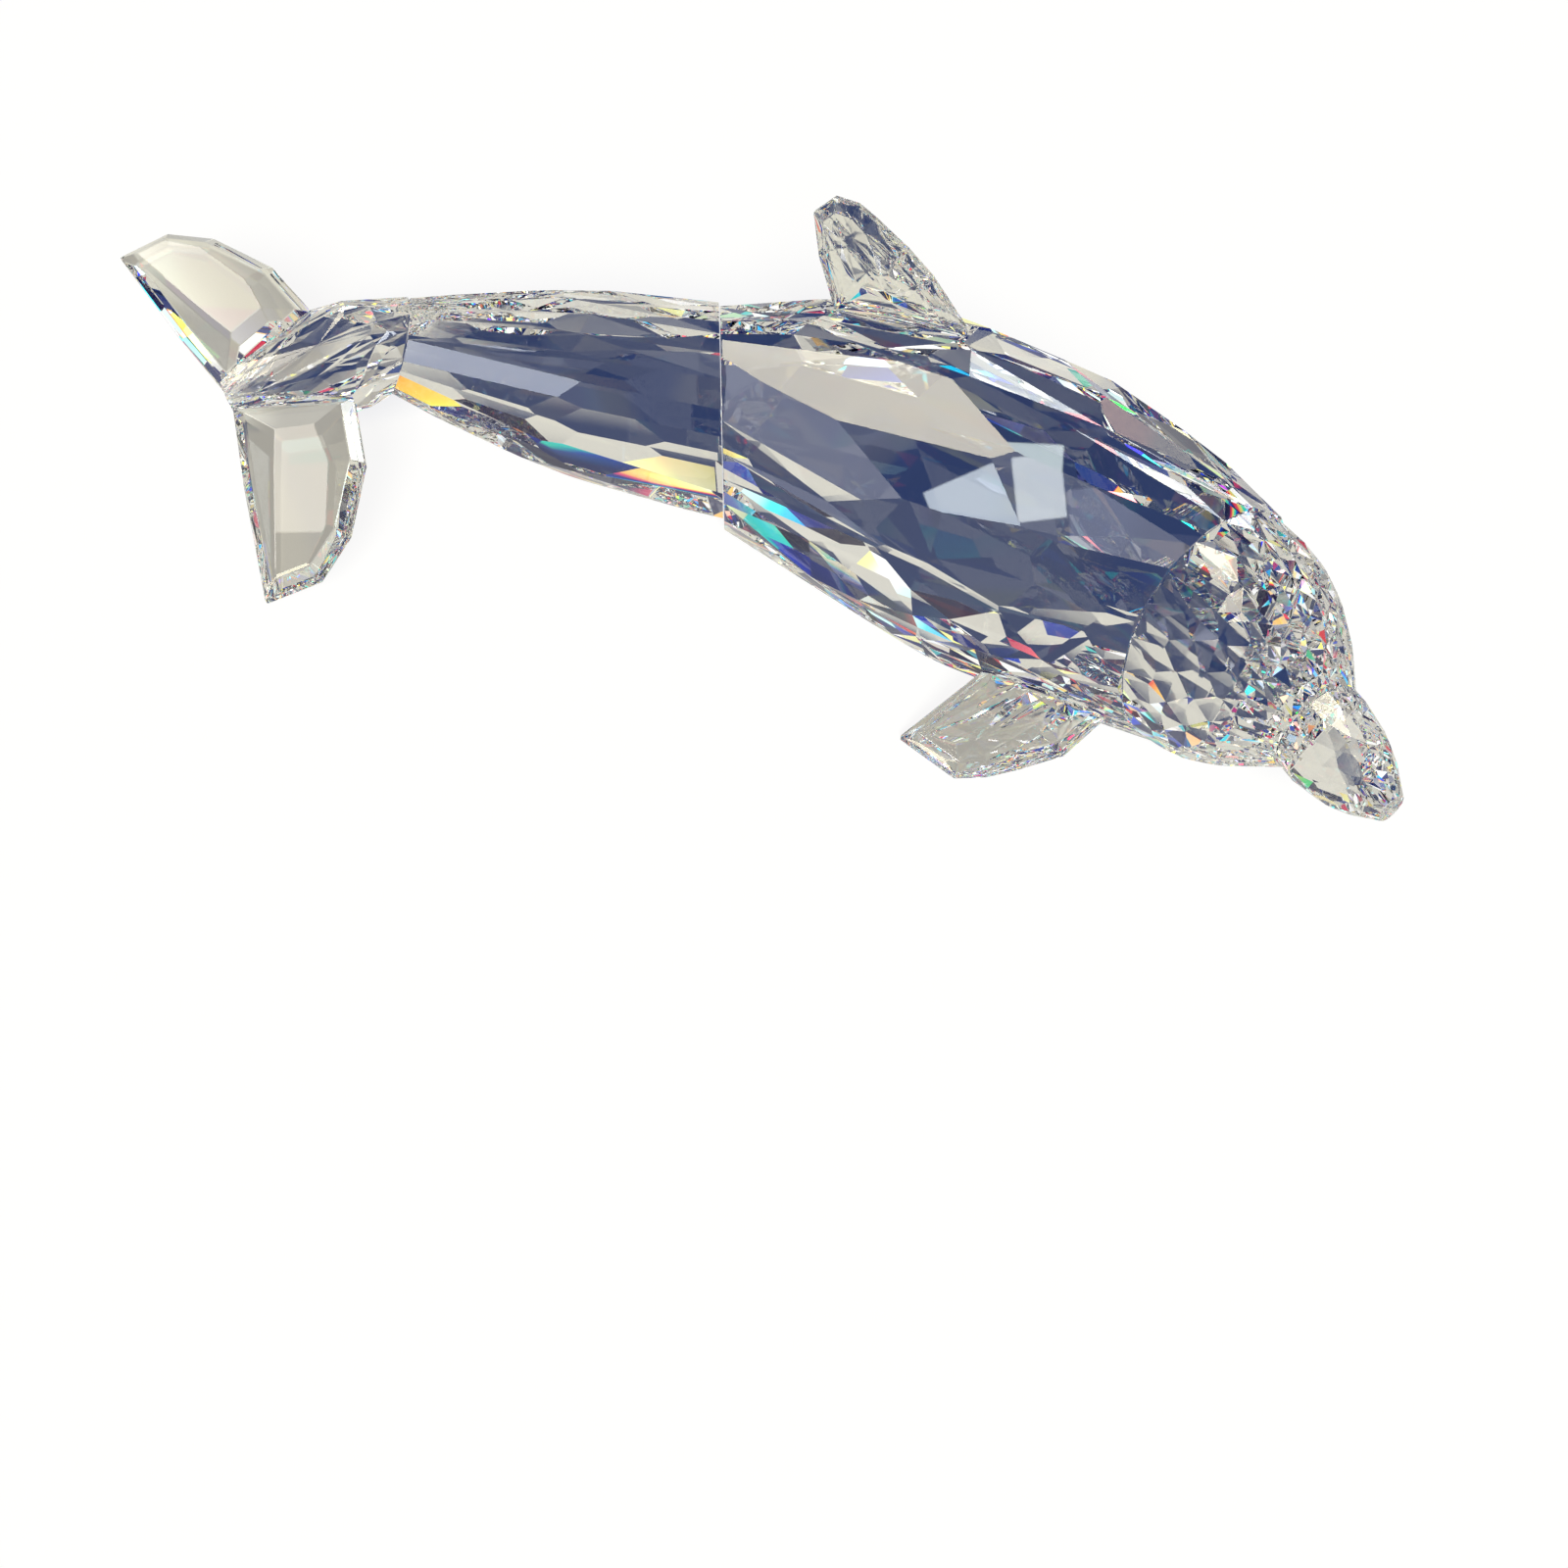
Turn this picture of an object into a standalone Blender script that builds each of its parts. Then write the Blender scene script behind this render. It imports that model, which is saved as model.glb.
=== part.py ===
"""Cut-crystal dolphin figurine, modelled as it is made.

Each piece of the real figurine is a block of clear crystal that is ground flat,
facet by facet, polished, and bonded to its neighbours at flat faces. The script does
the same: a block is cut by flat planes until only the faceted solid is left.

The body, head, beak and tail stock follow one curved spine. A plane that rests on the
swept oval round this spine is one facet, and rows of such planes, each row turned half
a facet from the last, give the kites and triangles of the cut.

Modelling frame: the spine passes through the origin at the seam between the tail stock
and the body, +X is the way the dolphin swims, +Y its left side, +Z up. An empty then
tips the whole figurine to the pose in which it rests on its belly facet.
"""

import math

import bmesh
import bpy
import numpy as np
from mathutils import Matrix, Vector

MM = 0.001

# Bonds and rest
GLUE_FILM = 0.3 * MM
BELLY_GRIND = 1.2 * MM

# Pose at rest, in degrees: how far the nose lifts and the left side dips on the table
REST_LIFT = 16.0
REST_ROLL = 3.0

# Lengths along the spine
TAIL_STOCK_LENGTH = 35.4 * MM
BODY_LENGTH = 60.2 * MM
HEAD_LENGTH = 17.1 * MM
BEAK_LENGTH = 11.8 * MM
COLLAR_LENGTH = 2.2 * MM

# Way of the spine at the hub seam, the tail seam, the middle of the body,
# the head seam, the beak seam and the beak tip: turn to the right, and dive of the nose
SPINE_TURN_DEG = (-11.2, -1.0, 21.5, 54.7, 60.0, 57.6)
SPINE_DIVE_DEG = (18.6, 12.2, 14.5, 7.5, 15.9, 14.8)
SPINE_STEP = 0.1 * MM

# The tail seam is cut upright, askew of the spine
TAIL_SEAM_TURN = -2.0
TAIL_SEAM_DIVE = 0.0

# Oval sections: height at each seam, and how far each piece swells past a straight taper
HUB_SEAM_HEIGHT = 10.0 * MM
TAIL_SEAM_HEIGHT = 23.2 * MM
HEAD_SEAM_HEIGHT = 27.0 * MM
BEAK_SEAM_HEIGHT = 11.0 * MM
BEAK_TIP_HEIGHT = 3.4 * MM
TAIL_STOCK_SWELL = 1.4 * MM
BODY_SWELL = 4.2 * MM
BODY_SWELL_PEAK = 0.46
HEAD_SWELL = 2.1 * MM
BEAK_SWELL = 0.8 * MM

# Width of the sections against their height
SECTION_RATIO = 0.82

# Depth of the belly half of each section against its back half, at the places of the spine
BELLY_RATIO = (1.0, 1.0, 1.14, 1.16, 1.13, 1.13)

# Width of the right half against the left half there, which fills the hollow side of the bend
RIGHT_RATIO = (1.0, 1.0, 1.38, 1.05, 1.0, 1.0)

# Facets: rows along each piece and facets round it, and the margin of the end rows
TAIL_FACETS = 12
TAIL_STOCK_ROWS = 4
BODY_FACETS = 14
BODY_ROWS = 5
HEAD_FACETS = 20
HEAD_ROWS = 7
BEAK_FACETS = 14
BEAK_ROWS = 5
ROW_MARGIN = 0.04

# Tail hub and flukes, in the fluke plane: distances back from the hub seam and to the side
FLUKE_TURN = -20.7
FLUKE_SLOPE = 16.5
FLUKE_ROLL = 19.5
FLUKE_RAISE = 2.0 * MM
HUB_FRONT_BACK = 7.4 * MM
HUB_FRONT_SIDE = 6.7 * MM
HUB_END_BACK = 19.2 * MM
HUB_END_SIDE = 1.2 * MM
HUB_FRONT_HEIGHT = 1.6 * MM
HUB_END_HEIGHT = 4.0 * MM
HUB_LEANS = (0.1, 0.45, -0.35)
FLUKE_LEADING = ((9.2, 15.4), (13.6, 23.0), (18.0, 26.6))
FLUKE_TIP = (23.8, 26.2)
FLUKE_TRAILING = (21.3, 11.5)
FLUKE_ROOT_THICKNESS = 4.0 * MM
FLUKE_TIP_THICKNESS = 2.4 * MM
FLUKE_EDGE = 0.7 * MM
FLUKE_BEVEL = 2.6 * MM

# Dorsal fin: forward and height from the middle of its seat
DORSAL_SEAT_AT = 16.0 * MM
DORSAL_SEAT_GRIND = 0.5 * MM
DORSAL_TURN = 7.0
DORSAL_FRONT = ((7.6, 0.0), (7.2, 1.0), (3.1, 5.7), (0.1, 8.2), (-3.6, 10.7))
DORSAL_TIP = ((-5.6, 11.9), (-8.2, 12.2), (-10.3, 10.2))
DORSAL_REAR = ((-9.3, 5.6), (-7.0, 0.0))
DORSAL_ROOT_THICKNESS = 5.4 * MM
DORSAL_TIP_THICKNESS = 2.4 * MM
DORSAL_RIM_HEIGHT = 1.2 * MM
DORSAL_EDGE = 0.9 * MM
DORSAL_BEVEL = 2.6 * MM

# Pectoral fins: forward and outward from the middle of each seat
PECTORAL_SEAT_FROM_HEAD = 12.8 * MM
PECTORAL_SEAT_TURN = 44.0
PECTORAL_SEAT_GRIND = 0.5 * MM
PECTORAL_TIP_LIFT = 0.3 * MM
PECTORAL_FRONT_ROOT = 8.4 * MM
PECTORAL_REAR_ROOT = 4.6 * MM
PECTORAL_FRONT = ((8.1, 4.3), (6.0, 8.8), (4.1, 12.2))
PECTORAL_TIP = ((1.8, 14.7), (-5.6, 14.9))
PECTORAL_ROOT_THICKNESS = 3.4 * MM
PECTORAL_TIP_THICKNESS = 2.0 * MM
PECTORAL_EDGE = 0.7 * MM
PECTORAL_BEVEL = 2.2 * MM

# Crown facets of the fins: where they start on the bevel, and their share of its steepness
CROWN_START = 0.5
CROWN_STEEPNESS = 0.3

# Grinding
BLOCK_SIZE = 160 * MM
CUT_TOLERANCE = 0.0005 * MM
WELD_DISTANCE = 0.01 * MM
SLOPE_ANGLE = 0.0001
CLOUD_STEPS = 40
CLOUD_TURNS = 72

# Places along the spine
HUB_SEAM = -TAIL_STOCK_LENGTH
TAIL_SEAM = 0.0
HEAD_SEAM = BODY_LENGTH
BEAK_SEAM = BODY_LENGTH + HEAD_LENGTH
BEAK_TIP = BEAK_SEAM + BEAK_LENGTH
SPINE_PLACES = (HUB_SEAM, TAIL_SEAM, BODY_LENGTH / 2, HEAD_SEAM, BEAK_SEAM, BEAK_TIP)

CRYSTAL_COLOUR = (0.93, 0.95, 0.95, 1.0)
CRYSTAL_ROUGHNESS = 0.02
CRYSTAL_IOR = 1.545


def direction(turn, dive):
    """Unit vectors that turn to the right and dive by these angles in degrees."""
    turn, dive = np.radians(turn), np.radians(dive)
    return np.stack([np.cos(turn) * np.cos(dive), -np.sin(turn) * np.cos(dive), -np.sin(dive)], -1)


def spine_direction(along):
    """Unit vectors along the spine at each distance, from its turn and its dive."""
    turn = np.interp(along, SPINE_PLACES, SPINE_TURN_DEG)
    return direction(turn, np.interp(along, SPINE_PLACES, SPINE_DIVE_DEG))


def spine_point(along):
    """Points of the spine: the sum of its direction, step by step, from the tail seam."""
    steps = np.arange(HUB_SEAM, BEAK_TIP + SPINE_STEP, SPINE_STEP)
    middle = spine_direction((steps[1:] + steps[:-1]) / 2)
    path = np.vstack([np.zeros(3), np.cumsum(middle * SPINE_STEP, axis=0)])
    seam = [np.interp(TAIL_SEAM, steps, path[:, axis]) for axis in range(3)]
    return np.stack([np.interp(along, steps, path[:, axis]) - seam[axis] for axis in range(3)], -1)


def spine_axes(along):
    """Forward, left and up at each distance; left stays level."""
    forward = spine_direction(along)
    left = np.cross((0.0, 0.0, 1.0), forward)
    left = left / np.linalg.norm(left, axis=-1, keepdims=True)
    return forward, left, np.cross(forward, left)


def tapered(start, end, first, last, swell, peak=0.5):
    """Half height between two places: a straight taper plus one sine swell with its peak placed."""
    skew = math.log(0.5) / math.log(peak)

    def half_height(along):
        share = np.clip((along - start) / (end - start), 0.0, 1.0)
        return (first + (last - first) * share) / 2 + swell * np.sin(math.pi * share ** skew)

    return half_height


def oval_point(along, turn, half_height):
    """Points on the swept oval; the turn runs from the back over the left side."""
    along, turn = np.broadcast_arrays(along, turn)
    _, left, up = spine_axes(along)
    depth = np.where(np.cos(turn) < 0.0, np.interp(along, SPINE_PLACES, BELLY_RATIO), 1.0)
    width = np.where(np.sin(turn) < 0.0, np.interp(along, SPINE_PLACES, RIGHT_RATIO), 1.0)
    upward = (np.cos(turn) * depth)[..., None] * up
    across = (np.sin(turn) * width * SECTION_RATIO)[..., None] * left
    return spine_point(along) + half_height(along)[..., None] * (upward + across)


def oval_normal(along, turn, half_height):
    """Outward unit normal of the swept oval at one place, from its two slopes."""
    step, nudge = SPINE_STEP, SLOPE_ANGLE
    lengthwise = oval_point(along + step, turn, half_height) - oval_point(along - step, turn, half_height)
    crosswise = oval_point(along, turn + nudge, half_height) - oval_point(along, turn - nudge, half_height)
    normal = np.cross(crosswise, lengthwise)
    outward = oval_point(along, turn, half_height) - spine_point(along)
    normal = normal * np.sign(np.dot(normal, outward))
    return normal / np.linalg.norm(normal)


def oval_cloud(start, end, half_height):
    """Points all over one piece of the swept oval, which its facets rest on."""
    along = np.linspace(start, end, CLOUD_STEPS)[:, None]
    turn = np.linspace(0.0, 2 * math.pi, CLOUD_TURNS, endpoint=False)[None, :]
    return oval_point(along, turn, half_height).reshape(-1, 3)


def resting_plane(cloud, normal, depth=0.0):
    """The plane of this direction that just touches the cloud, sunk by a depth."""
    normal = np.asarray(normal, dtype=float)
    normal = normal / np.linalg.norm(normal)
    return normal * ((cloud @ normal).max() - depth), normal


def seam_plane(along, side):
    """Joint face across the spine, half a glue film back from the seam; side is 1 or -1."""
    forward = direction(TAIL_SEAM_TURN, TAIL_SEAM_DIVE) if along == TAIL_SEAM else spine_direction(along)
    return spine_point(along) - side * forward * GLUE_FILM / 2, side * forward


def oval_facets(start, end, half_height, rows, facets):
    """Rows of facets round the spine, each row turned half a facet from the last."""
    cloud = oval_cloud(start, end, half_height)
    planes = []
    for row, share in enumerate(np.linspace(ROW_MARGIN, 1 - ROW_MARGIN, rows)):
        along = start + (end - start) * share
        for facet in range(facets):
            turn = 2 * math.pi * (facet + 0.5 * (row % 2)) / facets
            planes.append(resting_plane(cloud, oval_normal(along, turn, half_height)))
    return planes


def grind(block, point, normal):
    """Grind one facet: drop what lies outside the plane and close the cut."""
    geometry = block.verts[:] + block.edges[:] + block.faces[:]
    cut = bmesh.ops.bisect_plane(
        block, geom=geometry, dist=CUT_TOLERANCE, plane_co=point, plane_no=normal, clear_outer=True)
    rim = [item for item in cut["geom_cut"] if isinstance(item, bmesh.types.BMEdge)]
    if rim:
        bmesh.ops.edgeloop_fill(block, edges=rim)


def crystal(name):
    """Clear polished crystal as a Principled material."""
    material = bpy.data.materials.new(name + "_crystal")
    material.use_nodes = True
    shader = material.node_tree.nodes["Principled BSDF"]
    shader.inputs["Base Color"].default_value = CRYSTAL_COLOUR
    shader.inputs["Roughness"].default_value = CRYSTAL_ROUGHNESS
    shader.inputs["IOR"].default_value = CRYSTAL_IOR
    shader.inputs["Transmission Weight"].default_value = 1.0
    return material


def cut_piece(name, centre, planes, collection, parent):
    """Cut a block by all the planes of one piece and place the result."""
    centre = Vector(centre)
    block = bmesh.new()
    bmesh.ops.create_cube(block, size=BLOCK_SIZE, matrix=Matrix.Translation(centre))
    for point, normal in planes:
        grind(block, Vector(point), Vector(normal))
    bmesh.ops.remove_doubles(block, verts=block.verts[:], dist=WELD_DISTANCE)
    bmesh.ops.recalc_face_normals(block, faces=block.faces[:])
    bmesh.ops.translate(block, verts=block.verts[:], vec=-centre)
    mesh = bpy.data.meshes.new(name)
    block.to_mesh(mesh)
    block.free()
    mesh.materials.append(crystal(name))
    piece = bpy.data.objects.new(name, mesh)
    piece.location = centre
    piece.parent = parent
    collection.objects.link(piece)
    return piece


def blade_planes(origin, axes, outline, span, root, tip, edge, bevel, rim=0.0):
    """Planes of a flat blade: an edge facet, steep bevels and flatter crown facets round its outline.

    The outline runs round in the plane of the first two axes and the third axis is the
    thickness, which tapers from the root, above a straight rim, to the tip at the span.
    """
    along, out, across = axes
    corners = np.array(outline)
    middle = corners.mean(axis=0)
    planes = []
    for first, second in zip(corners, np.roll(corners, -1, axis=0)):
        flat = np.array([second[1] - first[1], first[0] - second[0]])
        flat = flat / np.linalg.norm(flat)
        flat = flat * np.sign(np.dot(flat, first - middle))
        normal = flat[0] * along + flat[1] * out
        corner = origin + first[0] * along + first[1] * out
        planes.append((corner, normal))
        for side in (1, -1):
            for start, steepness in ((0.0, 1.0), (CROWN_START, CROWN_STEEPNESS)):
                slope = normal * steepness * (root - edge) / 2 + side * across * bevel
                rise = side * across * (edge + start * (root - edge)) / 2
                planes.append((corner - start * bevel * normal + rise, slope / np.linalg.norm(slope)))
    for side in (1, -1):
        slope = out * (root - tip) / 2 + side * across * (span - rim)
        planes.append((origin + out * rim + side * across * root / 2, slope / np.linalg.norm(slope)))
        planes.append((origin + side * across * root / 2, side * across))
    return planes


def in_metres(points):
    """Outline points written in millimetres, as metres."""
    return [(first * MM, second * MM) for first, second in points]


def body_half_height():
    """Half height of the main body along the spine."""
    return tapered(TAIL_SEAM, HEAD_SEAM, TAIL_SEAM_HEIGHT, HEAD_SEAM_HEIGHT, BODY_SWELL, BODY_SWELL_PEAK)


def rest_rotation():
    """Turn from the modelling frame to the pose at rest: the nose lifts, then the left side dips."""
    lift = Matrix.Rotation(-math.radians(REST_LIFT), 3, "Y")
    return Matrix.Rotation(-math.radians(REST_ROLL), 3, "X") @ lift


def table_up():
    """Upward direction of the table, seen from the modelling frame."""
    return np.array(rest_rotation().inverted() @ Vector((0.0, 0.0, 1.0)))


def belly_plane():
    """The flat face that the figurine rests on, level once it is tipped to its rest."""
    cloud = oval_cloud(TAIL_SEAM, HEAD_SEAM, body_half_height())
    return resting_plane(cloud, -table_up(), BELLY_GRIND)


def body_planes():
    """All faces of the main body but the seats of its fins."""
    planes = [seam_plane(TAIL_SEAM, -1), seam_plane(HEAD_SEAM, 1), belly_plane()]
    return planes + oval_facets(TAIL_SEAM, HEAD_SEAM, body_half_height(), BODY_ROWS, BODY_FACETS)


def seat(along, turn, depth):
    """A flat seat ground this deep into the facet that lies there: its middle and its normal."""
    half_height = body_half_height()
    surface = oval_point(along, turn, half_height)
    normal = oval_normal(along, turn, half_height)
    facing = [(point, outward) for point, outward in body_planes() if np.dot(outward, normal) > 0.1]
    rise = min(np.dot(point - surface, outward) / np.dot(normal, outward) for point, outward in facing)
    return surface + normal * (rise - depth), normal


def dorsal_seat():
    return seat(DORSAL_SEAT_AT, 0.0, DORSAL_SEAT_GRIND)


def pectoral_seat(side):
    """Seat of one flipper, turned up from the table side; side is 1 for the left, -1 for the right."""
    along = HEAD_SEAM - PECTORAL_SEAT_FROM_HEAD
    _, left, up = spine_axes(along)
    down = math.atan2(-np.dot(table_up(), left), -np.dot(table_up(), up))
    return seat(along, down - side * math.radians(PECTORAL_SEAT_TURN), PECTORAL_SEAT_GRIND)


def main_body(collection, parent):
    planes = [*body_planes(), dorsal_seat(), pectoral_seat(1), pectoral_seat(-1)]
    return cut_piece("main_body", spine_point(BODY_LENGTH / 2), planes, collection, parent)


def tail_stock(collection, parent):
    half_height = tapered(HUB_SEAM, TAIL_SEAM, HUB_SEAM_HEIGHT, TAIL_SEAM_HEIGHT, TAIL_STOCK_SWELL)
    planes = [seam_plane(HUB_SEAM, -1), seam_plane(TAIL_SEAM, 1)]
    planes += oval_facets(HUB_SEAM, TAIL_SEAM, half_height, TAIL_STOCK_ROWS, TAIL_FACETS)
    return cut_piece("tail_stock", spine_point(HUB_SEAM / 2), planes, collection, parent)


def head(collection, parent):
    half_height = tapered(HEAD_SEAM, BEAK_SEAM, HEAD_SEAM_HEIGHT, BEAK_SEAM_HEIGHT, HEAD_SWELL)
    planes = [seam_plane(HEAD_SEAM, -1), seam_plane(BEAK_SEAM, 1)]
    planes += oval_facets(HEAD_SEAM, BEAK_SEAM, half_height, HEAD_ROWS, HEAD_FACETS)
    return cut_piece("head", spine_point((HEAD_SEAM + BEAK_SEAM) / 2), planes, collection, parent)


def beak(collection, parent):
    """A narrow straight collar, then a blunt cone in rows of small facets."""
    collar_end = BEAK_SEAM + COLLAR_LENGTH
    straight = tapered(BEAK_SEAM, collar_end, BEAK_SEAM_HEIGHT, BEAK_SEAM_HEIGHT, 0.0)
    cone = tapered(collar_end, BEAK_TIP, BEAK_SEAM_HEIGHT, BEAK_TIP_HEIGHT, BEAK_SWELL)
    planes = [seam_plane(BEAK_SEAM, -1), (spine_point(BEAK_TIP), spine_direction(BEAK_TIP))]
    planes += oval_facets(BEAK_SEAM, collar_end, straight, 1, BEAK_FACETS)
    planes += oval_facets(collar_end, BEAK_TIP, cone, BEAK_ROWS, BEAK_FACETS)
    return cut_piece("beak", spine_point((BEAK_SEAM + BEAK_TIP) / 2), planes, collection, parent)


def fluke_origin():
    """Middle of the hub seam, raised to the fluke plane."""
    return spine_point(HUB_SEAM) + FLUKE_RAISE * np.array((0.0, 0.0, 1.0))


def fluke_axes():
    """Back, left and up of the fluke plane, which turns, slopes and rolls with the tail."""
    turn, slope, roll = (math.radians(angle) for angle in (FLUKE_TURN, FLUKE_SLOPE, FLUKE_ROLL))
    back = np.array([-math.cos(turn) * math.cos(slope), math.sin(turn) * math.cos(slope), -math.sin(slope)])
    level = np.array([math.sin(turn), math.cos(turn), 0.0])
    up = np.cross(level, back)
    left = math.cos(roll) * level + math.sin(roll) * up
    return back, left, np.cross(left, back)


def fluke_root(side):
    """The bonded face on one side of the hub: a corner point and its outward normal."""
    back, left, _ = fluke_axes()
    out = side * left
    corner = fluke_origin() + HUB_FRONT_BACK * back + HUB_FRONT_SIDE * out
    normal = (HUB_FRONT_SIDE - HUB_END_SIDE) * back + (HUB_END_BACK - HUB_FRONT_BACK) * out
    return corner, normal / np.linalg.norm(normal)


def tail_hub(collection, parent):
    """A wedge that grows from the oval of the hub seam to the two faces of the flukes."""
    back, left, up = fluke_axes()
    origin = fluke_origin()
    turns = np.linspace(0.0, 2 * math.pi, CLOUD_TURNS, endpoint=False)
    points = list(oval_point(HUB_SEAM, turns, lambda along: np.full(np.shape(along), HUB_SEAM_HEIGHT / 2)))
    for side in (1, -1):
        for top in (1, -1):
            front = HUB_FRONT_BACK * back + side * HUB_FRONT_SIDE * left + top * HUB_FRONT_HEIGHT / 2 * up
            end = HUB_END_BACK * back + side * HUB_END_SIDE * left + top * HUB_END_HEIGHT / 2 * up
            points += [origin + front, origin + end]
    cloud = np.array(points)
    planes = [seam_plane(HUB_SEAM, 1), resting_plane(cloud, back)]
    for side in (1, -1):
        planes.append(fluke_root(side))
    for turn in np.linspace(0.0, 2 * math.pi, TAIL_FACETS, endpoint=False):
        for lean in HUB_LEANS:
            planes.append(resting_plane(cloud, math.cos(turn) * up + math.sin(turn) * left + lean * back))
    return cut_piece("tail_hub", origin + HUB_FRONT_BACK * back, planes, collection, parent)


def fluke(name, side, collection, parent):
    """One tail blade: the ground outline, cut at its root by the face of the hub."""
    back, left, up = fluke_axes()
    out = side * left
    corner, normal = fluke_root(side)
    root_front = (HUB_FRONT_BACK, HUB_FRONT_SIDE)
    root_end = (HUB_END_BACK, HUB_END_SIDE)
    leading = in_metres(FLUKE_LEADING)
    tip, trailing = in_metres((FLUKE_TIP, FLUKE_TRAILING))
    outline = [root_front, *leading, tip, trailing, root_end]
    origin = fluke_origin()
    planes = blade_planes(origin, (back, out, up), outline, tip[1], FLUKE_ROOT_THICKNESS,
                          FLUKE_TIP_THICKNESS, FLUKE_EDGE, FLUKE_BEVEL)
    planes.append((corner + normal * GLUE_FILM, -normal))
    centre = origin + leading[0][0] * back + leading[0][1] * out
    return cut_piece(name, centre, planes, collection, parent)


def dorsal_fin(collection, parent):
    """A thick swept fin on the seat of the back, with a straight rim along its root."""
    middle, normal = dorsal_seat()
    _, left, _ = spine_axes(DORSAL_SEAT_AT)
    toe = math.radians(DORSAL_TURN)
    ahead = np.cross(left, normal)
    forward = math.cos(toe) * ahead - math.sin(toe) * left
    outline = in_metres((*DORSAL_FRONT, *DORSAL_TIP, *DORSAL_REAR))
    height = max(corner[1] for corner in outline)
    planes = blade_planes(middle, (forward, normal, np.cross(normal, forward)), outline, height,
                          DORSAL_ROOT_THICKNESS, DORSAL_TIP_THICKNESS, DORSAL_EDGE, DORSAL_BEVEL,
                          DORSAL_RIM_HEIGHT)
    planes.append((middle + normal * GLUE_FILM, -normal))
    return cut_piece("dorsal_fin", middle + normal * height / 2, planes, collection, parent)


def pectoral_fin(name, side, collection, parent):
    """One flipper: a broad bevelled paddle that droops from its seat until its tip is at the table."""
    middle, normal = pectoral_seat(side)
    up = table_up()
    level = np.cross(up, spine_direction(HEAD_SEAM - PECTORAL_SEAT_FROM_HEAD))
    level = level / np.linalg.norm(level)
    forward = np.cross(level, up)
    tips = in_metres(PECTORAL_TIP)
    fall = np.dot(middle - belly_plane()[0], up) - PECTORAL_EDGE / 2 - PECTORAL_TIP_LIFT
    droop = math.asin(fall / tips[1][1])
    out = side * level * math.cos(droop) - up * math.sin(droop)
    front_root = (PECTORAL_FRONT_ROOT, -PECTORAL_FRONT_ROOT)
    rear_root = (-PECTORAL_REAR_ROOT, -PECTORAL_FRONT_ROOT)
    outline = [front_root, *in_metres(PECTORAL_FRONT), *tips, rear_root]
    planes = blade_planes(middle, (forward, out, np.cross(forward, out)), outline, tips[0][1],
                          PECTORAL_ROOT_THICKNESS, PECTORAL_TIP_THICKNESS, PECTORAL_EDGE, PECTORAL_BEVEL)
    planes.append((middle + normal * GLUE_FILM, -normal))
    return cut_piece(name, middle + out * tips[0][1] / 2, planes, collection, parent)


def rest_on_belly(parent, pieces):
    """Tip the figurine onto its belly facet, level at zero height, centred on its outline."""
    point, normal = belly_plane()
    parent.rotation_euler = rest_rotation().to_euler()
    bpy.context.view_layer.update()
    corners = np.array([piece.matrix_world @ vertex.co for piece in pieces for vertex in piece.data.vertices])
    middle = (corners.min(axis=0) + corners.max(axis=0)) / 2
    parent.location = (-middle[0], -middle[1], float(np.dot(point, normal)))


def build():
    for item in list(bpy.data.objects):
        bpy.data.objects.remove(item)
    collection = bpy.data.collections.new("dolphin_figurine")
    bpy.context.scene.collection.children.link(collection)
    rest = bpy.data.objects.new("rest_pose", None)
    collection.objects.link(rest)
    pieces = [
        main_body(collection, rest),
        tail_stock(collection, rest),
        tail_hub(collection, rest),
        fluke("left_fluke", 1, collection, rest),
        fluke("right_fluke", -1, collection, rest),
        head(collection, rest),
        beak(collection, rest),
        dorsal_fin(collection, rest),
        pectoral_fin("left_pectoral_fin", 1, collection, rest),
        pectoral_fin("right_pectoral_fin", -1, collection, rest),
    ]
    rest_on_belly(rest, pieces)


build()
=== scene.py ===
import math
import random
from itertools import permutations, product

import bmesh
import bpy
import numpy as np
from mathutils import Matrix, Vector


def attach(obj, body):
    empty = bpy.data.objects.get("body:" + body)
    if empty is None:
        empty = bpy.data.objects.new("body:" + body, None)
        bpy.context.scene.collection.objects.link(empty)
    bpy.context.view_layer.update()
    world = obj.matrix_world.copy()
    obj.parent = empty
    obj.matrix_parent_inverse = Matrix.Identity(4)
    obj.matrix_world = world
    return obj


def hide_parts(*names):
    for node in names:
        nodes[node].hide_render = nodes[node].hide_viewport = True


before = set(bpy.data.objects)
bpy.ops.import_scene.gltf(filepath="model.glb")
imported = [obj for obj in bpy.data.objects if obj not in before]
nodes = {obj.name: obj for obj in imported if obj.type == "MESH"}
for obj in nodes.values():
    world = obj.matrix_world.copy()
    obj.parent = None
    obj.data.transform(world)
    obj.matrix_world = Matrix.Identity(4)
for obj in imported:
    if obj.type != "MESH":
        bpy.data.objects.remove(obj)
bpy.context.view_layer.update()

# %% [markdown]
# A cut-crystal dolphin is made of ten pieces of clear glass. Each was ground flat on a
# wheel, facet by facet, then polished and bonded to its neighbours with clear adhesive.
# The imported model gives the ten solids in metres. Here they get their crystal, the bonds
# between them, and a table with studio light that the facets can mirror and bend.

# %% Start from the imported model
MM = 0.001
print("pieces:", sorted(nodes))


# %% [markdown]
# The colours are read from the picture as sRGB hex values. Blender mixes light in linear
# values, so one function turns the one into the other.

# %% Colours
def colour(text):
    """An sRGB hex value as linear red, green, blue and an alpha of 1.

    The curve is a short straight part near black, and a power of 2.4 above it.
    """
    coded = np.array([int(text[place:place + 2], 16) for place in (1, 3, 5)]) / 255
    linear = np.where(coded <= 0.04045, coded / 12.92, ((coded + 0.055) / 1.055) ** 2.4)
    return (*linear.tolist(), 1.0)


print("slate, linear:", [round(value, 3) for value in colour("#47527a")])


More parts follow.
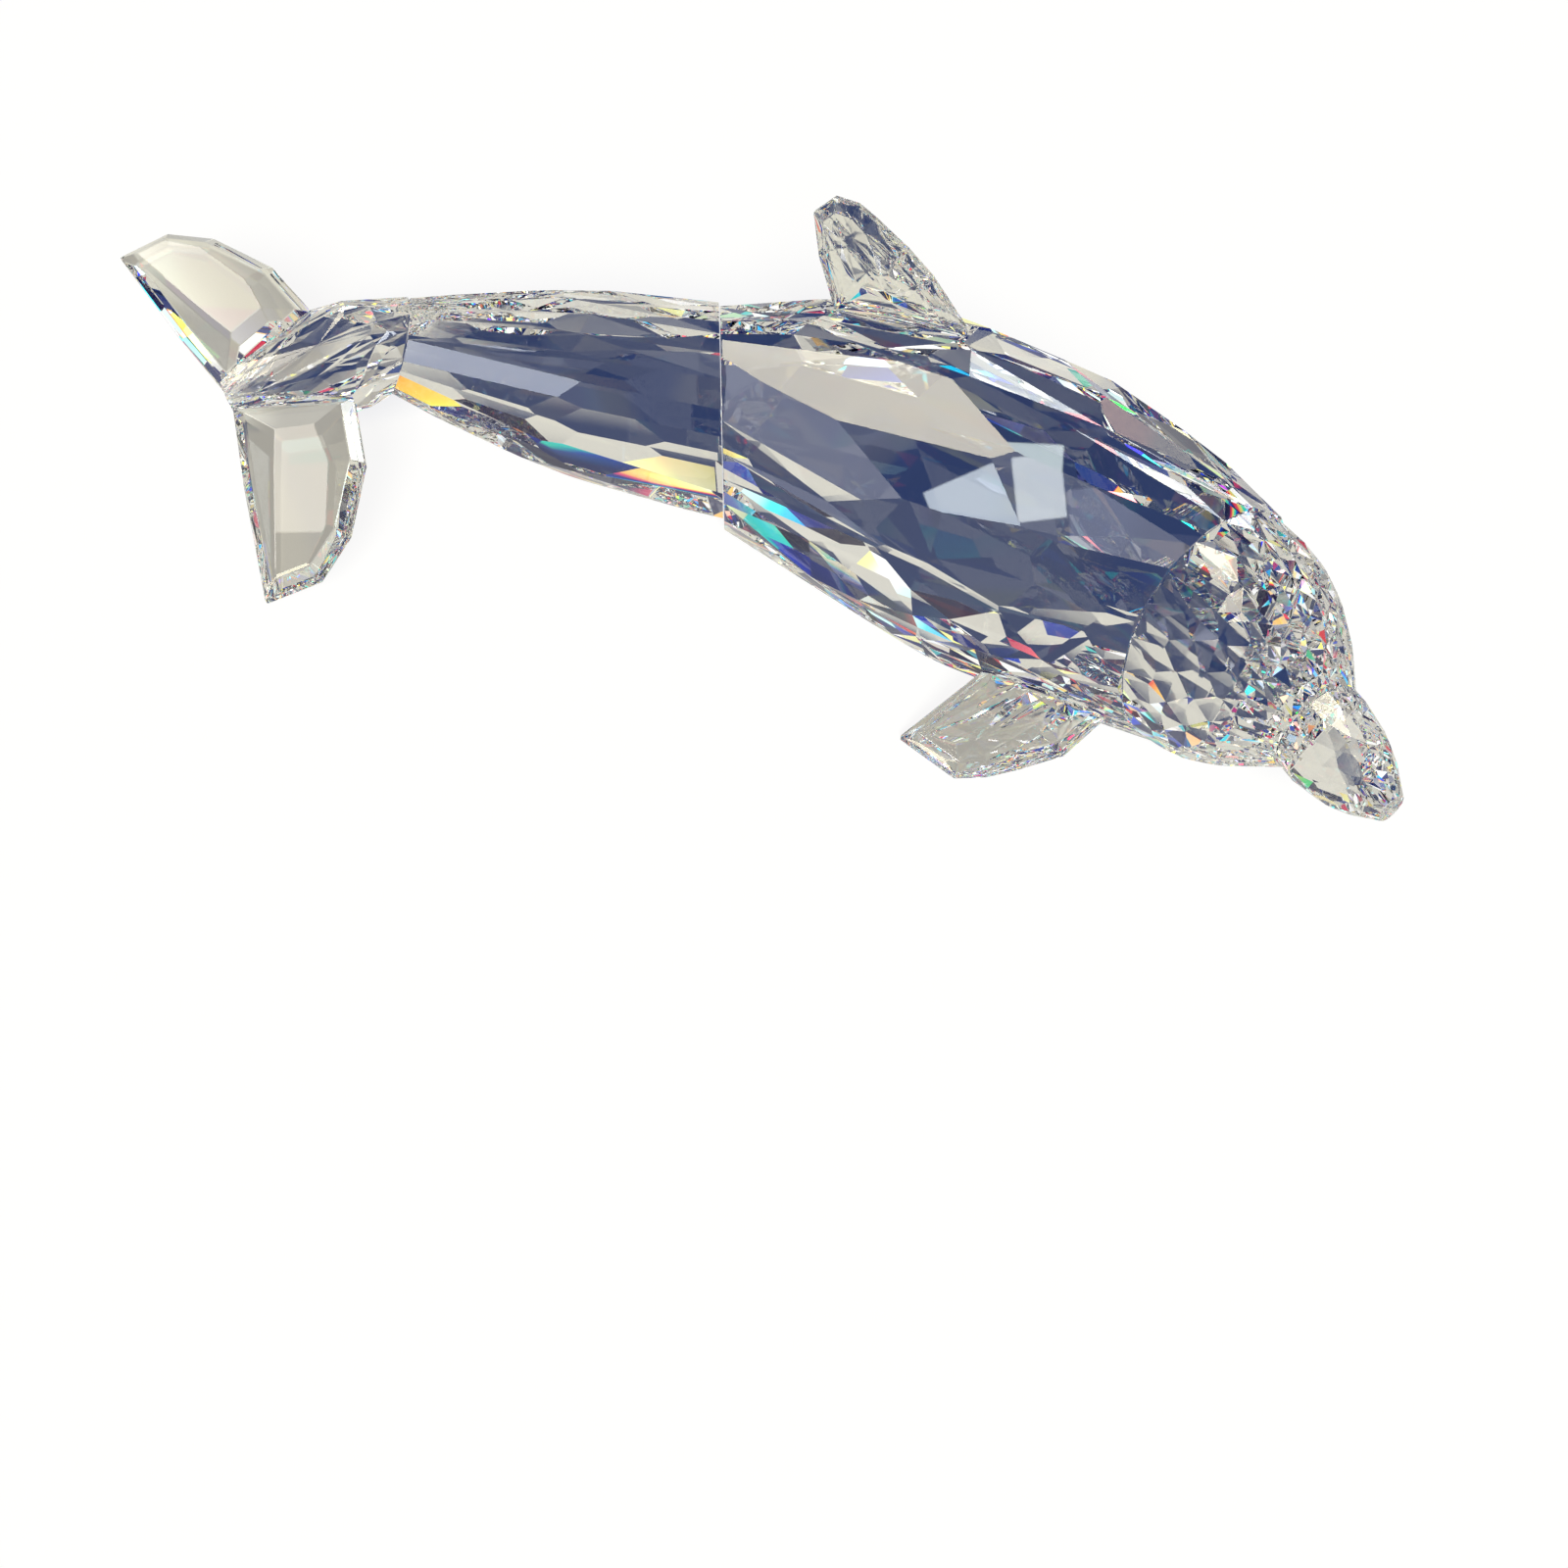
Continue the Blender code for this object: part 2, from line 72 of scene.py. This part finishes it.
# %% [markdown]
# A material is a small network of nodes. One function adds a node, sets its properties
# and fills its sockets, either with a plain value or with a link from another node.

# %% Adding a node
def add(tree, kind, sockets=(), **properties):
    """Add one node; sockets is a list of (name or number, value or output socket)."""
    node = tree.nodes.new("ShaderNode" + kind)
    for name, value in properties.items():
        setattr(node, name, value)
    for name, value in sockets:
        if isinstance(value, bpy.types.NodeSocket):
            tree.links.new(value, node.inputs[name])
        else:
            node.inputs[name].default_value = value
    return node


def new_material(name):
    """An empty material and its node tree."""
    material = bpy.data.materials.new(name)
    material.use_nodes = True
    material.node_tree.nodes.clear()
    return material, material.node_tree


print("helpers:", add.__name__, "and", new_material.__name__)

# %% [markdown]
# ## Polished crystal
# Lead-free optical crystal bends light at about 1.545, a little more than window glass,
# and its facets, polished with a fine oxide on a soft wheel, are so smooth that they
# mirror sharply. Cycles gives glass a full dark shadow. That suits the thick blocks, whose
# facets throw the light aside. A thin plate only weakens it a little, so for shadow rays
# the flukes, flippers and dorsal fin count as a pale clear pane.

# %% Polished crystal
CRYSTAL_IOR = 1.545
CLEAR_PANE = "#e2e0da"
THIN_PIECES = ("left_fluke", "right_fluke", "left_pectoral_fin", "right_pectoral_fin", "dorsal_fin")


def polished_crystal(name, text, lets_light_through):
    """Clear crystal of a given tone; a thin plate lets light straight through to the table."""
    material, tree = new_material(name)
    glass = add(tree, "BsdfPrincipled", [
        ("Base Color", colour(text)), ("Roughness", 0.0), ("IOR", CRYSTAL_IOR),
        ("Transmission Weight", 1.0)])
    surface = glass.outputs[0]
    if lets_light_through:
        pane = add(tree, "BsdfTransparent", [("Color", colour(CLEAR_PANE))])
        ray = add(tree, "LightPath")
        surface = add(tree, "MixShader", [
            (0, ray.outputs["Is Shadow Ray"]), (1, surface), (2, pane.outputs[0])]).outputs[0]
    add(tree, "OutputMaterial", [("Surface", surface)])
    return material


crystal_block = polished_crystal("optical crystal, ground and polished block", "#f3f3f1", False)
crystal_plate = polished_crystal("optical crystal, ground and polished plate", "#f4f4ee", True)
print("made", crystal_block.name, "and", crystal_plate.name)

# %% [markdown]
# ## Bonds
# The adhesive is cured clear and bends light like the crystal, so a bonded face is
# nearly invisible from inside: light goes straight through it. Only the narrow open edge
# of the bond shows, as the fine bright line that runs round the figurine.

# %% Bonded faces
FILM_MM = 0.3
BOND_SLOT = 1


def clear_bond():
    """Cured clear adhesive against crystal: light passes straight through."""
    material, tree = new_material("bonded face, clear adhesive")
    through = add(tree, "BsdfTransparent", [("Color", colour("#fdfdfd"))])
    add(tree, "OutputMaterial", [("Surface", through.outputs[0])])
    return material


bond = clear_bond()
print("made", bond.name, "for films of", FILM_MM, "mm")

# %% [markdown]
# ## Finding the bonded faces
# Two pieces are bonded where a face of one lies a film's thickness from a face of the
# other and looks the opposite way. Loose triangles are first merged into whole facets.

# %% Whole facets
SAME_PLACE_MM = 0.001
SAME_FACET_DEG = 0.3


def whole_facets(node):
    """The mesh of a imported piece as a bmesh, its triangles merged into flat facets."""
    block = bmesh.new()
    block.from_mesh(node.data)
    bmesh.ops.remove_doubles(block, verts=block.verts[:], dist=SAME_PLACE_MM * MM)
    bmesh.ops.dissolve_limit(block, angle_limit=math.radians(SAME_FACET_DEG),
                             verts=block.verts[:], edges=block.edges[:])
    bmesh.ops.recalc_face_normals(block, faces=block.faces[:])
    return block


blocks = {name: whole_facets(node) for name, node in nodes.items()}
print("facets:", {name: len(block.faces) for name, block in blocks.items()})

# %% Pairs of bonded faces
OPPOSITE_WAYS = -0.9999  # at most this, as the dot product of two normals
WIDEST_FILM_MM = 1.2 * FILM_MM


def outline_of(face):
    """The corners of a face in order, as points of their own."""
    return [corner.co.copy() for corner in face.verts]


def facing_pairs():
    """Each (piece, outline, normal, other piece, other outline) that a thin film could join."""
    pairs = []
    for (first, block), (second, other) in permutations(blocks.items(), 2):
        for face, mate in product(block.faces, other.faces):
            if face.normal.dot(mate.normal) > OPPOSITE_WAYS:
                continue
            gap = (mate.verts[0].co - face.verts[0].co).dot(face.normal)
            if 0 < gap < WIDEST_FILM_MM * MM:
                pairs.append((first, outline_of(face), face.normal.copy(),
                              second, outline_of(mate)))
    return pairs


bonds = facing_pairs()
print("bonded faces:", len(bonds), [(found[0], found[3]) for found in bonds])

# %% [markdown]
# The film covers only the shared part of two bonded faces. So each face is scored along
# the outline of its mate, and the part inside that outline becomes the bonded part.

# %% Score each face along the outline of its mate
SAME_WAY = 0.99999  # at least this, as the dot product of two normals
SAME_PLANE_MM = 0.005


def faces_in_plane(block, outline, normal):
    """The faces of a piece that lie in the plane of an outline and look the same way."""
    return [face for face in block.faces
            if face.normal.dot(normal) > SAME_WAY
            and abs((face.verts[0].co - outline[0]).dot(normal)) < SAME_PLANE_MM * MM]


def inside(point, outline, normal):
    """True where a point is on the inner side of every edge of a convex outline."""
    return all((there - here).cross(point - here).dot(normal) >= 0.0
               for here, there in zip(outline, outline[1:] + outline[:1]))


def score(block, outline, normal, mate_outline):
    """Cut the face with this outline along its mate's outline and mark the shared part."""
    mate = mate_outline[::-1]
    for here, there in zip(mate, mate[1:] + mate[:1]):
        side = (there - here).cross(normal).normalized()
        flat = faces_in_plane(block, outline, normal)
        parts = set(flat)
        for face in flat:
            parts.update(face.edges)
            parts.update(face.verts)
        bmesh.ops.bisect_plane(block, geom=list(parts), dist=SAME_PLACE_MM * MM,
                               plane_co=here, plane_no=side)
    for face in faces_in_plane(block, outline, normal):
        if inside(face.calc_center_median(), mate, normal):
            face.material_index = BOND_SLOT


for name, outline, normal, mate_name, mate_outline in bonds:
    score(blocks[name], outline, normal, mate_outline)
shared = {name: sum(face.material_index == BOND_SLOT for face in block.faces)
          for name, block in blocks.items()}
print("bonded parts:", shared)

# %% [markdown]
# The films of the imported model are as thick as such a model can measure. Real ones are
# thinner, so each bonded face moves a little towards its mate, and a fine line is left.

# %% Draw the bonded faces together
CLOSER_MM = 0.09


def draw_together(block, outline, normal):
    """Move the flat face with this outline a little along its normal."""
    flat = faces_in_plane(block, outline, normal)
    for corner in {corner for face in flat for corner in face.verts}:
        corner.co += normal * CLOSER_MM * MM
    block.normal_update()


for name, outline, normal, mate_name, mate_outline in bonds:
    draw_together(blocks[name], outline, normal)
print("left open between bonded faces, mm:", round(FILM_MM - 2 * CLOSER_MM, 2))

# %% [markdown]
# ## Small facets
# A cutter grinds the large facets first and then breaks up some of them with small flat
# ones: all over the head, the hub and the fins, along the ridge of the back and along the
# belly. Those are the parts that glitter. Here a facet becomes a fan of triangles round a
# point that lies a little deeper than the facet, as if each triangle were ground at its
# own tilt. The points lie unevenly, because they are ground by hand, and never outside
# the solid. Bonded faces and the facet that the figurine rests on stay whole.

# %% Where small facets are ground
# For each piece: rounds, least area of a facet in mm2, depth as a share of the facet's size,
# and two heights of its normal. A facet is broken up below the first and above the second,
# so 1 and 1 stand for every facet.
SMALL_FACETS = {
    "head": (1, 3.0, 0.065, 1.0, 1.0),
    "main_body": (1, 1.0, 0.065, 0.12, 0.93),
    "tail_stock": (1, 1.0, 0.06, -0.8, 0.5),
    "tail_hub": (2, 1.5, 0.06, 1.0, 1.0),
    "dorsal_fin": (2, 0.8, 0.09, 1.0, 1.0),
    "right_pectoral_fin": (2, 1.0, 0.07, 1.0, 1.0),
    "left_pectoral_fin": (2, 1.0, 0.07, 1.0, 1.0),
}
print("pieces with small facets:", sorted(SMALL_FACETS))

# %% Grind the small facets
DEPTH_SPREAD = (0.5, 1.5)
POINT_ASIDE = 0.45
ABOVE_TABLE_MM = 0.4


def grind_small_facets(name, block, chance):
    """Split facets into a fan of small ones round a point ground a little deeper.

    The point is the facet's centre, moved inwards along the normal by the depth times the
    square root of the facet's area, and then towards one of its corners by a random share.
    """
    if name not in SMALL_FACETS:
        return
    rounds, least_area, depth, low, high = SMALL_FACETS[name]
    for _ in range(rounds):
        chosen = [face for face in block.faces
                  if face.material_index != BOND_SLOT
                  and face.calc_area() > least_area * MM * MM
                  and face.calc_center_median().z > ABOVE_TABLE_MM * MM
                  and (face.normal.z < low or face.normal.z > high)]
        for face in chosen:
            corner = face.verts[chance.randrange(len(face.verts))].co.copy()
            deep = depth * chance.uniform(*DEPTH_SPREAD) * math.sqrt(face.calc_area())
            aside = chance.uniform(0.0, POINT_ASIDE)
            fan = bmesh.ops.poke(block, faces=[face], offset=-deep, center_mode="MEAN_WEIGHTED")
            point = fan["verts"][0]
            point.co = point.co.lerp(corner, aside)


chance = random.Random(11)
for name, block in blocks.items():
    grind_small_facets(name, block, chance)
print("facets now:", {name: len(block.faces) for name, block in blocks.items()})

# %% [markdown]
# ## The ten pieces
# Every edge between two facets is left with a hair of a bevel by the polishing. It is
# too fine to see as a face, but it draws the thin bright or dark line along the edge.

# %% Put the crystal on the pieces
EDGE_POLISH_MM = 0.07
SHARP_EDGE_DEG = 2.0


def crystal_piece(name, block):
    """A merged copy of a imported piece, with its bonded parts and its polished edges."""
    mesh = bpy.data.meshes.new(name + "_crystal")
    block.to_mesh(mesh)
    block.free()
    mesh.materials.append(crystal_plate if name in THIN_PIECES else crystal_block)
    mesh.materials.append(bond)
    piece = bpy.data.objects.new(name + "_crystal", mesh)
    bpy.context.scene.collection.objects.link(piece)
    polish = piece.modifiers.new("polished edges", "BEVEL")
    polish.width = EDGE_POLISH_MM * MM
    polish.segments = 1
    polish.limit_method = "ANGLE"
    polish.angle_limit = math.radians(SHARP_EDGE_DEG)
    polish.material = 0
    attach(piece, "root")
    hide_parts(name)
    return piece


pieces = {name: crystal_piece(name, block) for name, block in blocks.items()}
print("pieces:", {name: len(piece.data.polygons) for name, piece in pieces.items()})

# %% [markdown]
# ## The table
# A pale matt table runs on under the whole view. The picture's white comes from its own
# colour and, for the rays that look straight at it, from a share of plain white, so that
# the shadow stays soft. The table also glows a dim slate all over, a painted fill light
# that shows wherever the lamp doesn't reach. It stands for the dim blue light of the room,
# which glass would otherwise keep off the table, and it is what gives the clear body its
# navy look: the shadow, filled with this painted glow, is seen through it.

# %% Table
TABLE_REACH_M = 3.0
TABLE_DROP_MM = 0.05  # keeps the table out of the plane of the belly facet
CREAM_PAINT = "#fef8dc"
# painted fill light: a dim slate glow from the whole table, seen in its shadow
PAINTED_FILL_GLOW_TONE = "#33426b"
PLAIN_TONE = "#fefeff"
PLAIN_WHITE = 1.09  # strength of the plain white
SHADOW_LIFT = 0.75  # share of plain white in what the camera sees


def table_material():
    """Cream paint with a dim slate glow added as painted fill light, and a share of plain white
    over it.
    """
    material, tree = new_material("matt cream table, sprayed, with a painted slate glow")
    paint = add(tree, "BsdfDiffuse", [("Color", colour(CREAM_PAINT))])
    # painted fill light: the table glows this dim slate all over, lit or not
    painted_fill_glow = add(tree, "Emission", [("Color", colour(PAINTED_FILL_GLOW_TONE))])
    matt = add(tree, "AddShader", [(0, paint.outputs[0]), (1, painted_fill_glow.outputs[0])])
    plain = add(tree, "Emission", [("Color", colour(PLAIN_TONE)), ("Strength", PLAIN_WHITE)])
    ray = add(tree, "LightPath")
    share = add(tree, "Math", [(0, ray.outputs["Is Camera Ray"]), (1, SHADOW_LIFT)],
                operation="MULTIPLY")
    seen = add(tree, "MixShader", [
        (0, share.outputs[0]), (1, matt.outputs[0]), (2, plain.outputs[0])])
    add(tree, "OutputMaterial", [("Surface", seen.outputs[0])])
    return material


mesh = bpy.data.meshes.new("table")
corners = np.array([[-1, -1], [1, -1], [1, 1], [-1, 1]]) * TABLE_REACH_M
heights = np.full((4, 1), -TABLE_DROP_MM * MM)
mesh.from_pydata(np.hstack([corners, heights]).tolist(), [], [(0, 1, 2, 3)])
mesh.materials.append(table_material())
table = bpy.data.objects.new("table", mesh)
bpy.context.scene.collection.objects.link(table)
print("table reaches", TABLE_REACH_M, "m each way")

# %% [markdown]
# ## The room that the facets mirror
# Clear crystal has no colour of its own: what is seen in it is the room. A studio for
# crystal is mostly dark slate cards with pale and white ones between them. Each facet
# catches a small piece of it, so a flat facet looks like one flat tone. Crystal bends
# blue light a little more than red, which draws coloured fringes where a pale card meets
# a dark one. The room is therefore drawn three times, for red and for blue turned a
# little way apart. The turn grows with the number of times that the light has gone in or
# out of crystal, and a plain mirror image has none.

# %% The dark and pale cards of the room
ROOM_CARDS = 6.0
FRINGE_DEG = 0.9
FRINGE_AXIS = (0.5, -0.6, 0.62)
MOST_PASSES = 3.0
# where each tone of the cards begins, on a scale from the darkest card to the palest
ROOM_TONES = ((0.30, "#141b3c"), (0.46, "#222c5c"), (0.53, "#3f4d86"), (0.555, "#c4bda2"),
              (0.60, "#e4dabb"), (0.62, "#ffffff"), (0.70, "#ffffff"))
print("cards about", round(math.degrees(1 / ROOM_CARDS)), "degrees wide")

# %% How the cards are drawn
world = bpy.data.worlds.new("studio")
bpy.context.scene.world = world
world.use_nodes = True
world.cycles.sampling_method = "NONE"  # so that Is Diffuse Ray holds for the world's light
room = world.node_tree
room.nodes.clear()


def turned_way(degrees):
    """The direction looked in, turned by an angle times the passes through crystal."""
    way = add(room, "TexCoord").outputs["Generated"]
    passes = add(room, "LightPath").outputs["Transmission Depth"]
    counted = add(room, "Math", [(0, passes), (1, MOST_PASSES)], operation="MINIMUM")
    angle = add(room, "Math", [(0, counted.outputs[0]), (1, math.radians(degrees))],
                operation="MULTIPLY")
    return add(room, "VectorRotate", [
        ("Vector", way), ("Axis", FRINGE_AXIS), ("Angle", angle.outputs[0])]).outputs[0]


def card_tone(way, channel):
    """One colour channel of the room's dark and pale cards."""
    cards = add(room, "TexNoise", [("Vector", way), ("Scale", ROOM_CARDS), ("Detail", 0.0)])
    ramp = add(room, "ValToRGB", [(0, cards.outputs["Fac"])])
    stops = ramp.color_ramp.elements
    stops.remove(stops[1])
    stops[0].position, stops[0].color = ROOM_TONES[0][0], colour(ROOM_TONES[0][1])
    for position, text in ROOM_TONES[1:]:
        stops.new(position).color = colour(text)
    return add(room, "SeparateColor", [(0, ramp.outputs[0])]).outputs[channel]


print("the cards have", len(ROOM_TONES), "tones")

# %% [markdown]
# ## Bright windows
# A crystal facet mirrors only about a twentieth of the light, so a facet looks pale only
# when it mirrors a bright lamp window. The way to a window is the camera's line of sight
# mirrored in the facet that should look pale. The windows light nothing but the mirror
# images and the light bent inside the crystal: the table isn't lit by them. Seen through
# crystal they are kept dimmer, so that the flat plates stay calm.

# %% Bright windows
# the way to each window, its half sizes in degrees, its colour and its strength
WINDOWS = (
    ((-0.536, -0.099, 0.839), (9.0, 9.0), "#fff6d8", 8.5),
    ((-0.578, -0.604, 0.549), (1.5, 1.2), "#e4eff2", 9.0),
    ((-0.060, 0.200, 0.977), (1.2, 0.9), "#e4f2ea", 9.0),
    ((-0.339, -0.556, 0.759), (0.6, 0.8), "#e8f0ee", 9.0),
    ((-0.790, -0.570, 0.230), (8.0, 8.0), "#e8ecff", 1.8),
    ((-0.300, -0.575, 0.762), (1.4, 1.1), "#dfe6ff", 1.5),
    ((0.160, 0.627, 0.762), (8.0, 6.0), "#f2fbff", 6.0),
    ((-0.650, 0.350, 0.680), (8.0, 8.0), "#fff8ea", 4.0),
    ((-0.318, 0.101, 0.943), (2.4, 2.4), "#ffffff", 12.0),
    ((-0.160, -0.980, 0.080), (3.0, 5.0), "#eef4ff", 5.0),
    ((-0.860, -0.310, 0.410), (5.0, 4.0), "#fff3d2", 8.0),
    ((0.240, -0.080, 0.970), (3.0, 3.0), "#f4faff", 9.0),
    ((-0.550, -0.780, 0.300), (2.0, 2.0), "#fff6d8", 9.0),
)
print("windows:", len(WINDOWS), "strongest:", max(window[3] for window in WINDOWS))

# %% Dimmer once the light has gone through crystal
WINDOW_THROUGH_CRYSTAL = 0.28
HALF_A_PASS = 0.5
gone_through = add(room, "LightPath").outputs["Transmission Depth"]
mirrored = add(room, "Math", [(0, gone_through), (1, HALF_A_PASS)], operation="LESS_THAN")
window_share = add(room, "MapRange", [
    (0, mirrored.outputs[0]), (3, WINDOW_THROUGH_CRYSTAL), (4, 1.0)]).outputs[0]
print("windows through crystal keep", WINDOW_THROUGH_CRYSTAL, "of their light")

# %% The light of the windows
WINDOW_FALL = 0.0012  # in radians, how soft the sides of a window are
CHANNELS = ("Red", "Green", "Blue")


def between_sides(way, axis, half_degrees):
    """One where the way lies within the half width of a window along one axis, else zero."""
    offset = add(room, "VectorMath", [(0, way), (1, axis)], operation="DOT_PRODUCT")
    size = add(room, "Math", [(0, offset.outputs["Value"])], operation="ABSOLUTE")
    half = math.sin(math.radians(half_degrees))
    return add(room, "MapRange", [
        (0, size.outputs[0]), (1, half), (2, half + WINDOW_FALL), (3, 1.0), (4, 0.0)]).outputs[0]


def window_light(way, channel):
    """One colour channel of all the windows together."""
    total = 0.0
    for towards, halves, text, strength in WINDOWS:
        towards = Vector(towards).normalized()
        across = towards.cross(Vector((0.0, 1.0, 0.0))).normalized()
        level = colour(text)[CHANNELS.index(channel)] * strength
        facing = add(room, "VectorMath", [(0, way), (1, towards)], operation="DOT_PRODUCT")
        ahead = add(room, "Math", [(0, facing.outputs["Value"]), (1, 0.0)],
                    operation="GREATER_THAN")
        shown = ahead.outputs[0]
        for axis, half in ((across, halves[0]), (towards.cross(across), halves[1])):
            both = [(0, shown), (1, between_sides(way, axis, half))]
            shown = add(room, "Math", both, operation="MULTIPLY").outputs[0]
        lit = add(room, "Math", [(0, shown), (1, level), (2, total)], operation="MULTIPLY_ADD")
        total = lit.outputs[0]
    return add(room, "Math", [(0, total), (1, window_share)], operation="MULTIPLY").outputs[0]


print("sides of a window fade within", round(math.degrees(WINDOW_FALL), 2), "degrees")

# %% [markdown]
# The cards and windows are drawn once for each colour channel, with its own small turn,
# and joined to one room. The matt table sees none of it, so that the lamp alone lights
# it besides its own painted slate glow, and rays that miss everything see plain white.

# %% The room as light
ROOM_STRENGTH = 1.3
channels = []
for channel, turn in zip(CHANNELS, (-FRINGE_DEG, 0.0, FRINGE_DEG)):
    way = turned_way(turn)
    both = [(0, card_tone(way, channel)), (1, window_light(way, channel))]
    channels.append(add(room, "Math", both, operation="ADD").outputs[0])
room_seen = add(room, "CombineColor", list(enumerate(channels)))
light = add(room, "Background", [
    ("Color", room_seen.outputs[0]), ("Strength", ROOM_STRENGTH)])
unlit = add(room, "Background", [("Strength", 0.0)])
ray = add(room, "LightPath")
mixed = add(room, "MixShader", [
    (0, ray.outputs["Is Diffuse Ray"]), (1, light.outputs[0]), (2, unlit.outputs[0])])
plain = add(room, "Background", [("Color", colour("#ffffff"))])
seen = add(room, "MixShader", [
    (0, ray.outputs["Is Camera Ray"]), (1, mixed.outputs[0]), (2, plain.outputs[0])])
add(room, "OutputWorld", [("Surface", seen.outputs[0])])
print("nodes in the room:", len(room.nodes))

# %% [markdown]
# ## Lamp
# One wide soft lamp lights the table from the camera's side, at a level at which a colour
# renders about as it is written. The shadow falls behind the figurine, where it is seen
# through it. The facets don't mirror this lamp: they mirror the windows.

# %% Lamp
LAMP_WAY = Vector((0.10, 0.89, -0.45))
LAMP_STRENGTH = 5.4
LAMP_WIDTH_DEG = 14.0
sun = bpy.data.lights.new("soft lamp", "SUN")
sun.energy = LAMP_STRENGTH
sun.angle = math.radians(LAMP_WIDTH_DEG)
lamp = bpy.data.objects.new("soft lamp", sun)
lamp.rotation_euler = LAMP_WAY.to_track_quat("-Z", "Y").to_euler()
lamp.visible_glossy = False
lamp.visible_transmission = False
bpy.context.scene.collection.objects.link(lamp)
print("lamp strength", sun.energy)

# %% [markdown]
# ## Camera
# A normal lens looks down at the figurine from its right side. The picture is tilted:
# the figurine rests level on its belly facet, and the camera is rolled, so that the beak
# points down in the picture as it does in the photograph.

# %% Camera
CAMERA_PLACE_M = (-0.02509, -0.19365, 0.13495)
CAMERA_TURN_DEG = 12.005
CAMERA_DOWN_DEG = 37.869
CAMERA_ROLL_DEG = 20.407
LENS_MM = 50.0
SENSOR_MM = 36.0
NEAREST_SEEN_M = 0.01
data = bpy.data.cameras.new("camera")
data.lens = LENS_MM
data.sensor_width = SENSOR_MM
data.clip_start = NEAREST_SEEN_M
camera = bpy.data.objects.new("camera", data)
aim = Matrix.Rotation(-math.radians(CAMERA_TURN_DEG), 4, "Z")
tip = Matrix.Rotation(math.radians(90.0 - CAMERA_DOWN_DEG), 4, "X")
roll = Matrix.Rotation(math.radians(CAMERA_ROLL_DEG), 4, "Z")
camera.matrix_world = Matrix.Translation(CAMERA_PLACE_M) @ aim @ tip @ roll
bpy.context.scene.collection.objects.link(camera)
bpy.context.scene.camera = camera
print("camera at", CAMERA_PLACE_M)

# %% [markdown]
# ## Light paths
# Light that goes into a cut stone is bent and mirrored many times before it comes out, so
# each ray is followed for many turns. Caustics, the bright spots that crystal throws on a
# table, are left off, because in a short render they show only as stray dots.

# %% Light paths
CRYSTAL_TURNS = 20
MIRROR_TURNS = 12
CLEAR_LAYERS = 32
cycles = bpy.context.scene.cycles
cycles.max_bounces = CRYSTAL_TURNS
cycles.transmission_bounces = CRYSTAL_TURNS
cycles.glossy_bounces = MIRROR_TURNS
cycles.transparent_max_bounces = CLEAR_LAYERS
cycles.caustics_reflective = False
cycles.caustics_refractive = False
bpy.context.scene.view_settings.view_transform = "Standard"
print("a ray is followed for", cycles.max_bounces, "turns")
